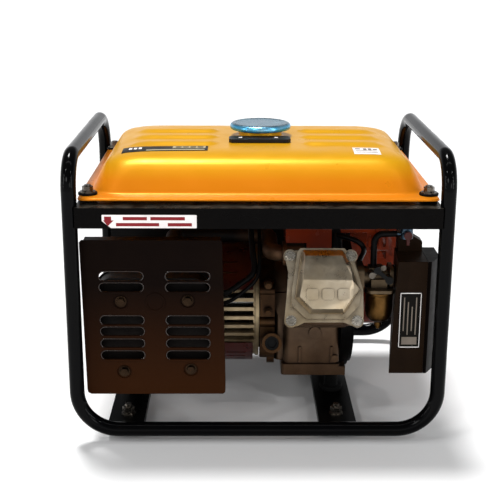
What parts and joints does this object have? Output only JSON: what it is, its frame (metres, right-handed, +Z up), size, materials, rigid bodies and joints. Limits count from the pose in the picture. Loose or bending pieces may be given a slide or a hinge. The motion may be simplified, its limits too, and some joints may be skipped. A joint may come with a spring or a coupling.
{
  "type": "portable generator",
  "caption": "Open-frame portable generator with yellow fuel tank, tube frame, overhead-valve engine, louvred muffler shield and side-mounted alternator.",
  "frame": {"origin": "centre of the bounding box's floor face", "axes": "+X from the muffler side to the air-cleaner side along the crankshaft, +Z up, cylinder head towards -Y, control panel towards +Y"},
  "size_m": [0.46, 0.366, 0.3682],
  "materials": {
    "tube_black": "gloss",
    "rail_black": "gloss",
    "rubber_black": "matte",
    "zinc_steel": "satin",
    "tank_yellow": "gloss",
    "cap_metal": "gloss",
    "gasket_rubber": "matte",
    "strainer_plastic": "matte",
    "gauge_black": "satin",
    "gauge_clear": "gloss",
    "pointer_orange": "matte",
    "valve_zinc": "satin",
    "lever_red": "satin",
    "hose_black": "satin",
    "cast_aluminium": "cast",
    "side_aluminium": "cast",
    "cover_aluminium": "satin",
    "exhaust_steel": "heat stained",
    "shield_black": "matte",
    "ceramic_white": "gloss",
    "ground_steel": "ground",
    "fan_iron": "cast",
    "blower_black": "satin",
    "shroud_orange": "gloss",
    "pulley_nylon": "matte",
    "grip_black": "matte",
    "carb_zinc": "cast",
    "bowl_brass": "satin",
    "lever_black": "satin",
    "air_box_black": "matte",
    "filter_foam": "foam",
    "bracket_aluminium": "cast",
    "cover_red": "gloss",
    "stator_iron": "varnished",
    "panel_black": "satin",
    "outlet_ivory": "satin",
    "button_red": "satin",
    "terminal_brass": "satin",
    "cable_black": "satin"
  },
  "bodies": {
    "generator": {"frame_tube_left": "tube_black", "frame_tube_right": "tube_black", "front_cross_rail": "rail_black", "rear_cross_rail": "rail_black", "base_plate_left": "rail_black", "base_plate_right": "rail_black", "rubber_feet": "rubber_black", "frame_bolts": "zinc_steel", "engine_mounts": "rubber_black", "alternator_foot": "rail_black", "tank_upper_shell": "tank_yellow", "tank_lower_shell": "tank_yellow", "tank_grommets": "rubber_black", "tank_bolts": "zinc_steel", "fuel_strainer": "strainer_plastic", "gauge_bezel": "gauge_black", "gauge_lens": "gauge_clear", "fuel_valve_body": "valve_zinc", "fuel_hose": "hose_black", "crankcase": "cast_aluminium", "crankcase_side_cover": "side_aluminium", "cylinder_and_head": "cast_aluminium", "valve_cover": "cover_aluminium", "valve_cover_bolts": "zinc_steel", "exhaust_pipe": "exhaust_steel", "muffler_body": "exhaust_steel", "muffler_heat_shield": "shield_black", "shield_screws": "zinc_steel", "spark_plug": "ceramic_white", "ignition_lead": "cable_black", "blower_housing": "blower_black", "recoil_housing": "shroud_orange", "cylinder_shroud": "shroud_orange", "carburettor_body": "carb_zinc", "float_bowl": "bowl_brass", "air_cleaner_body": "air_box_black", "air_filter_element": "filter_foam", "alternator_bracket": "bracket_aluminium", "alternator_cover": "cover_red", "alternator_stator": "stator_iron", "alternator_end_cover": "blower_black", "control_panel": "panel_black", "duplex_outlet": "outlet_ivory", "ground_terminal": "terminal_brass", "wiring_harness": "cable_black"},
    "rotating_group": {"crankshaft": "ground_steel", "flywheel_fan": "fan_iron", "alternator_rotor": "fan_iron"},
    "recoil_grip": {"recoil_handle": "grip_black"},
    "starter_pulley": {"recoil_pulley": "pulley_nylon"},
    "cap_plug": {"fuel_cap_plug": "gasket_rubber"},
    "cap_shell": {"fuel_cap_shell": "cap_metal"},
    "valve_lever": {"fuel_valve_lever": "lever_red"},
    "choke": {"choke_lever": "lever_black"},
    "governor": {"governor_arm": "zinc_steel"},
    "level_pointer": {"gauge_pointer": "pointer_orange"},
    "breaker": {"breaker_button": "button_red"},
    "switch_rocker": {"engine_switch_rocker": "button_red"},
    "oil_plug": {"oil_filler_plug": "lever_black"},
    "air_cover": {"air_cleaner_cover": "air_box_black"}
  },
  "joints": [
    {"name": "crank_spin", "type": "hinge", "parent": "generator", "child": "rotating_group", "pos_m": [0, 0.018, 0.121], "axis": [1, 0, 0], "continuous": true},
    {"name": "recoil_pull", "type": "slide", "parent": "generator", "child": "recoil_grip", "axis": [0, 1, 0], "range_m": [0, 0.45], "stiffness_N_per_m": 20, "springref_m": -0.15},
    {"name": "recoil_turn", "type": "hinge", "parent": "generator", "child": "starter_pulley", "pos_m": [0.147, 0.018, 0.121], "axis": [-1, 0, 0], "range_deg": [0, 1230]},
    {"name": "cap_lift", "type": "slide", "parent": "generator", "child": "cap_plug", "axis": [0, 0, 1], "range_m": [0, 0.2]},
    {"name": "cap_turn", "type": "hinge", "parent": "cap_plug", "child": "cap_shell", "pos_m": [0.005, 0.02, 0.36], "axis": [0, 0, 1], "range_deg": [0, 90]},
    {"name": "fuel_valve_turn", "type": "hinge", "parent": "generator", "child": "valve_lever", "pos_m": [0.186, -0.11, 0.249], "axis": [0, -1, 0], "range_deg": [0, 90]},
    {"name": "choke_turn", "type": "hinge", "parent": "generator", "child": "choke", "pos_m": [0.163, -0.12, 0.19529], "axis": [0, 1, 0], "range_deg": [0, 50]},
    {"name": "governor_turn", "type": "hinge", "parent": "generator", "child": "governor", "pos_m": [0.142, -0.115, 0.20029], "axis": [0, 1, 0], "range_deg": [-20, 20]},
    {"name": "level_turn", "type": "hinge", "parent": "generator", "child": "level_pointer", "pos_m": [0.005, -0.025, 0.351], "axis": [0, 0, 1], "range_deg": [0, 60]},
    {"name": "breaker_push", "type": "slide", "parent": "generator", "child": "breaker", "axis": [0, -1, 0], "range_m": [0, 0.003], "stiffness_N_per_m": 600, "springref_m": -0.001},
    {"name": "switch_rock", "type": "hinge", "parent": "generator", "child": "switch_rocker", "pos_m": [0.045, 0.1645, 0.226], "axis": [-1, 0, 0], "range_deg": [0, 16]},
    {"name": "oil_plug_out", "type": "slide", "parent": "generator", "child": "oil_plug", "axis": [0, -0.9511, 0.309], "range_m": [0, 0.05]},
    {"name": "air_cover_off", "type": "slide", "parent": "generator", "child": "air_cover", "axis": [1, 0, 0], "range_m": [0, 0.08]}
  ],
  "couplings": [
    {"joint": "recoil_turn", "follows": "recoil_pull", "rad_per_m": 47.619}
  ]
}
